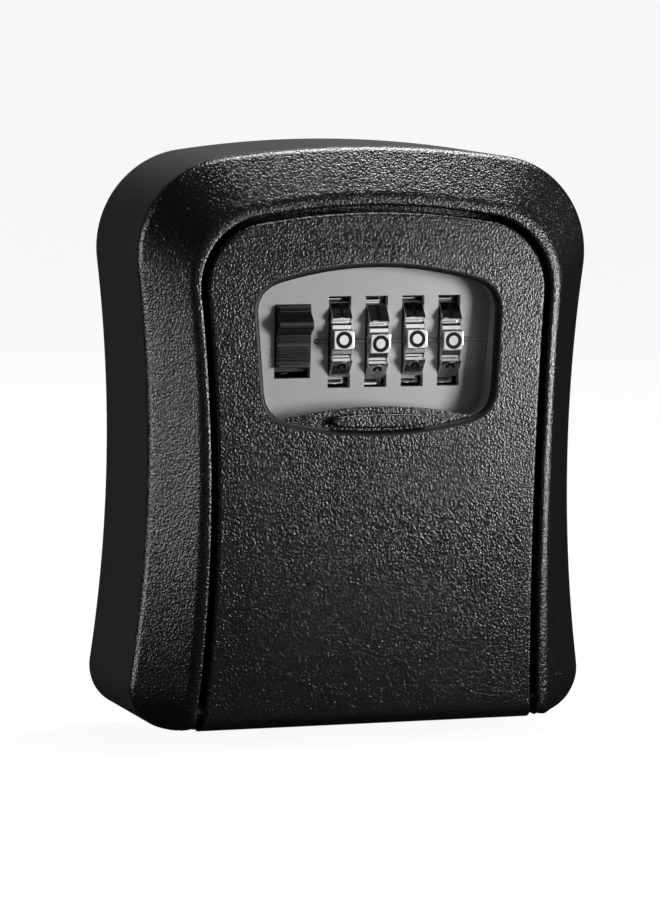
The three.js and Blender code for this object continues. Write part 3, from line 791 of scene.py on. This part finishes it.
def dial_ring(x, play):
    """A cylinder whose corners are moved to the dial's flats and notches, bored through."""
    bpy.ops.object.select_all(action="DESELECT")
    corners = 10 * len(TOOTH)
    bpy.ops.mesh.primitive_cylinder_add(vertices=corners, radius=1, depth=2)
    ring = bpy.context.object
    for vertex in ring.data.vertices:
        from_first = math.atan2(vertex.co.y, vertex.co.x) - math.pi / 2
        count = round(from_first / math.tau * corners) % corners
        degrees, radius = TOOTH[count % len(TOOTH)]
        turned = 36 * (count // len(TOOTH)) + degrees + play
        vertex.co = round_axle(x + vertex.co.z * DIAL["half_width"], radius, turned)
    bpy.ops.object.mode_set(mode="EDIT")
    bpy.ops.mesh.select_all(action="SELECT")
    bpy.ops.mesh.normals_make_consistent(inside=False)
    bpy.ops.object.mode_set(mode="OBJECT")
    left, right = (at(x + aside, AXLE_DEPTH, AXLE_Z) for aside in (-4, 4))
    combined(ring, round_bar(left, right, DIAL["bore"], 48))
    softened(ring, DIAL["edge"], degrees=25)
    return ring


def zero():
    """A plain round zero, as a flat ring in the XY plane."""
    inner, outer, half_thick = ZERO["inner"], ZERO["outer"], ZERO["half_thick"]
    low_side = [(inner, -half_thick), (outer, -half_thick)]
    sizes = [*low_side, (outer, half_thick), (inner, half_thick), low_side[0]]
    turns = [math.tau * i / 48 for i in range(48)]
    rings = [[Vector((r * math.cos(a), r * math.sin(a), h)) * MM for a in turns] for r, h in sizes]
    return skin("digit", rings)


def figure(number):
    """A bold digit in the XY plane, centred and grown to its full height."""
    bpy.ops.object.select_all(action="DESELECT")
    bpy.ops.object.text_add()
    text = bpy.context.object
    text.data.body = str(number)
    text.data.size = DIGIT["size"] * MM
    text.data.offset = DIGIT["bold"] * MM
    text.data.extrude = DIGIT["half_thick"] * MM
    bpy.ops.object.convert(target="MESH")
    sides = [vertex.co for vertex in text.data.vertices]
    middle = [(min(co[k] for co in sides) + max(co[k] for co in sides)) / 2 for k in range(3)]
    tall = max(co.y for co in sides) - min(co.y for co in sides)
    grow = DIGIT["high"] * MM / tall
    for vertex in text.data.vertices:
        vertex.co = (vertex.co - Vector(middle)) * grow
        vertex.co.z /= grow
    return text


for i in range(DIAL["count"]):
    x = DIAL["first"] + i * DIAL["pitch"]
    name = f"dial_{i + 1}"
    ring = dial_ring(x, DIAL_PLAY[i])
    ring.name = name + "_ring"
    finished(ring, chrome, f"dial_wheel_{i + 1}", name, degrees=20)
    digits = []
    for number in range(10):
        digit = figure(number) if number else zero()
        degrees = 36 * number + DIAL_PLAY[i]
        turn = math.radians(degrees)
        outwards = Vector((0, -math.cos(turn), math.sin(turn)))
        upwards = Vector((0, math.sin(turn), math.cos(turn)))
        place = Matrix.Translation(round_axle(x, FLAT, degrees))
        facing = Matrix((Vector((1, 0, 0)), upwards, outwards)).transposed().to_4x4()
        digit.matrix_world = place @ facing
        digits.append(digit)
    only(digits[0])
    for digit in digits:
        digit.select_set(True)
    bpy.ops.object.transform_apply(location=True, rotation=True)
    bpy.ops.object.join()
    digits[0].name = name + "_digits"
    finished(digits[0], digit_black, f"dial_wheel_{i + 1}")

# ---- opening slider -----------------------------------------------------------------------
# A moulded black slider, pulled down by its smooth thumb ridge once the code is set. Fine ribs
# cross its face below the ridge, and two more its upper end.

gloss_black = Finish("gloss_black", "gloss_black", specular_ior_level=1.0)
gloss_black.feed("Base Color", (0.004, 0.004, 0.0043, 1))
gloss_black.feed("Roughness", 0.24 + 0.1 * gloss_black.noise(1.2, 3))
gloss_black.raised(gloss_black.noise(0.3), 0.006)

SLIDER = {"left": -20.05, "right": -13.45, "edge": 0.1}
BROAD_RIB = {"back": 33.9, "front": 34.95, "low": 73.75, "high": 74.35}
RIB = {"radius": 0.23, "depth": 34.7, "pitch": 0.65, "first": 75, "count": 9}
UPPER_RIBS = [85.1, 85.75]
opening_slider = mended("opening_slider", "ribbed_slider")
broad_rib = box_bar(
    at(SLIDER["left"], BROAD_RIB["back"], BROAD_RIB["low"]),
    at(SLIDER["right"], BROAD_RIB["front"], BROAD_RIB["high"]),
)
combined(opening_slider, broad_rib, "UNION")
softened(opening_slider, SLIDER["edge"])
rib_heights = [RIB["first"] + RIB["pitch"] * i for i in range(RIB["count"])]
for z in [*rib_heights, *UPPER_RIBS]:
    left, right = (at(SLIDER[side], RIB["depth"], z) for side in ("left", "right"))
    combined(opening_slider, round_bar(left, right, RIB["radius"], 16), "UNION")
finished(opening_slider, gloss_black, "slider", "opening_slider", degrees=42)

# ---- lock behind the plate ----------------------------------------------------------------
# Zinc-plated steel pieces, a matte black cover and a glossy black reset lever. Screws get a cross
# recess, and the larger pieces softened edges. The slider's and the bolt's springs are steel copies
# of their CAD shape and belong to no body. The clips, the cams and the detent spring keep their CAD
# shape.

steel = Finish("zinc_steel", "steel", metallic=1.0)
plating = steel.noise(1.6, 3)
steel.feed("Base Color", steel.between((0.42, 0.43, 0.44), (0.56, 0.565, 0.57), plating))
steel.feed("Roughness", 0.28 + 0.16 * plating)
steel.raised(steel.noise(0.25, 2, (6, 1, 1)), 0.006)

matte_black = Finish("matte_black", "matte_black", specular_ior_level=0.45)
cover_shade = matte_black.noise(4, 3)
cover_coat = matte_black.between((0.013, 0.013, 0.014), (0.022, 0.022, 0.024), cover_shade)
matte_black.feed("Base Color", cover_coat)
matte_black.feed("Roughness", 0.5 + 0.12 * matte_black.noise(1.5))
matte_black.raised(matte_black.noise(0.35, 2), 0.02)


RECESS = {"half_width": 0.36, "deep": 0.8, "case_half_length": 1.7, "door_half_length": 1.2}
SCREW_EDGE = 0.12
INNER_EDGE = 0.2


def cross_cut(piece, node, half_length):
    """Cuts a cross recess for a driver into a screw's head, at its end nearest the wall."""
    low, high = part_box(node)
    middle = (low + high) / 2
    half_width = RECESS["half_width"]
    for across, up in ((half_length, half_width), (half_width, half_length)):
        deepest = high.y - RECESS["deep"] * MM
        start = Vector((middle.x - across * MM, deepest, middle.z - up * MM))
        end = Vector((middle.x + across * MM, high.y + 1 * MM, middle.z + up * MM))
        combined(piece, box_bar(start, end))


for node, piece in frame["nodes"].items():
    if "screw" in node:
        screw = mended(node, node + "_turned")
        holder = "case" if node.startswith("case") else "door"
        cross_cut(screw, node, RECESS[holder + "_half_length"])
        softened(screw, SCREW_EDGE)
        finished(screw, steel, piece["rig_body"], node, degrees=42)

for node, finish in (
    ("hinge_pin", steel),
    ("door_bolt", steel),
    ("locking_bar", steel),
    ("dial_axle", steel),
    ("lock_cover", matte_black),
    ("reset_lever", gloss_black),
):
    inner_piece = mended(node, node + "_finished")
    softened(inner_piece, INNER_EDGE)
    finished(inner_piece, finish, frame["nodes"][node]["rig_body"], node, degrees=42)

SPRING_FOOT = 66.6
for node, body, head in (("slider_spring", "slider", 72.7), ("bolt_spring", "bolt", 80.1)):
    spring = mended(node, node + "_wound")
    finished(spring, steel, None, node, degrees=60)
    at(-16.75, 26, SPRING_FOOT)
    at(-16.75, 26, head)
    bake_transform(spring)

for node in (
    "axle_clip_1",
    "axle_clip_2",
    "code_cam_1",
    "code_cam_2",
    "code_cam_3",
    "code_cam_4",
    "detent_spring",
):
    for place in frame["nodes"][node].material_slots:
        place.material = steel.material
